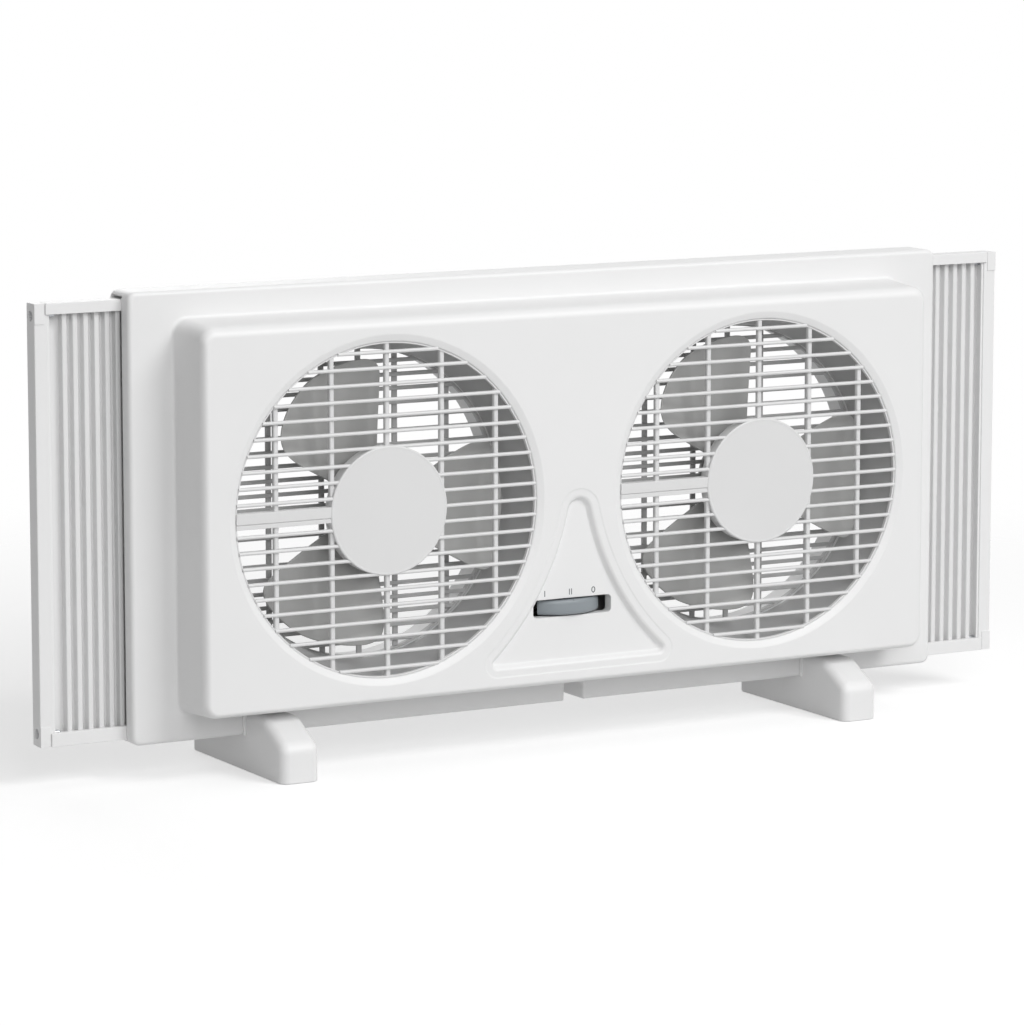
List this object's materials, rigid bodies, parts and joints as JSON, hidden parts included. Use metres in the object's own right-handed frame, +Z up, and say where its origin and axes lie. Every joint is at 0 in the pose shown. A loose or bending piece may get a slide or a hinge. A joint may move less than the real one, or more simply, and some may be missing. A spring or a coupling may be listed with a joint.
{
  "type": "window fan",
  "caption": "Window fan with ducted axial fans side by side in one moulded body, sliding ribbed extenders at both ends, a thumbwheel switch and clip-under feet.",
  "frame": {"origin": "on the floor plane under the feet, below the middle of the window panel", "axes": "+X to the right seen from the room, +Y from the room to the outdoors, +Z up"},
  "size_m": [0.668, 0.124, 0.2875],
  "materials": {
    "white_abs": "satin moulded ABS",
    "white_sheet": "satin ribbed polystyrene sheet",
    "duct_grey": "satin moulded plastic",
    "rear_grille_grey": "satin moulded plastic",
    "blade_grey": "satin moulded plastic",
    "bracket_steel": "zinc plated pressing",
    "core_steel": "laminated electrical steel",
    "winding_copper": "enamelled copper wire",
    "bearing_bronze": "sintered bronze",
    "screw_steel": "zinc plated",
    "switch_black": "satin",
    "wheel_grey": "satin",
    "terminal_brass": "plain",
    "lead_black": "pvc insulation",
    "bushing_white": "satin"
  },
  "bodies": {
    "housing": {"front_bezel": "white_abs", "front_grille_left": "white_abs", "front_grille_right": "white_abs", "air_duct_left": "duct_grey", "air_duct_right": "duct_grey", "panel_frame": "white_abs", "back_panel": "white_abs", "rear_grille_left": "rear_grille_grey", "rear_grille_right": "rear_grille_grey", "motor_front_bracket_left": "bracket_steel", "motor_front_bracket_right": "bracket_steel", "motor_rear_bracket_left": "bracket_steel", "motor_rear_bracket_right": "bracket_steel", "stator_core_left": "core_steel", "stator_core_right": "core_steel", "stator_coils_left": "winding_copper", "stator_coils_right": "winding_copper", "motor_bearings_left": "bearing_bronze", "motor_bearings_right": "bearing_bronze", "motor_screws": "screw_steel", "switch_body": "switch_black", "switch_screws": "screw_steel", "switch_terminals": "terminal_brass", "motor_lead_left": "lead_black", "motor_lead_right": "lead_black", "cord_bushing": "bushing_white", "foot_left": "white_abs", "foot_right": "white_abs", "foot_screws": "screw_steel", "bezel_screws": "screw_steel", "back_screws": "screw_steel"},
    "fan_left": {"rotor_left": "core_steel", "fan_blades_left": "blade_grey", "blade_nut_left": "screw_steel"},
    "fan_right": {"rotor_right": "core_steel", "fan_blades_right": "blade_grey", "blade_nut_right": "screw_steel"},
    "thumbwheel": {"switch_thumbwheel": "wheel_grey"},
    "extender_left": {"end_cap_left": "white_abs", "top_rail_left": "white_abs", "bottom_rail_left": "white_abs", "extender_sheet_left": "white_sheet", "extender_screws_left": "screw_steel"},
    "extender_right": {"end_cap_right": "white_abs", "top_rail_right": "white_abs", "bottom_rail_right": "white_abs", "extender_sheet_right": "white_sheet", "extender_screws_right": "screw_steel"}
  },
  "joints": [
    {"name": "fan_spin_left", "type": "hinge", "parent": "housing", "child": "fan_left", "pos_m": [-0.129, -0.03, 0.1545], "axis": [0, 1, 0], "continuous": true},
    {"name": "fan_spin_right", "type": "hinge", "parent": "housing", "child": "fan_right", "pos_m": [0.129, -0.03, 0.1545], "axis": [0, 1, 0], "continuous": true},
    {"name": "thumbwheel_turn", "type": "hinge", "parent": "housing", "child": "thumbwheel", "pos_m": [-0.003, -0.0189, 0.0865], "axis": [0, 0, 1], "range_deg": [-15, 15]},
    {"name": "extender_slide_left", "type": "slide", "parent": "housing", "child": "extender_left", "axis": [-1, 0, 0], "range_m": [-0.04, 0.006]},
    {"name": "extender_slide_right", "type": "slide", "parent": "housing", "child": "extender_right", "axis": [1, 0, 0], "range_m": [-0.04, 0.006]}
  ]
}
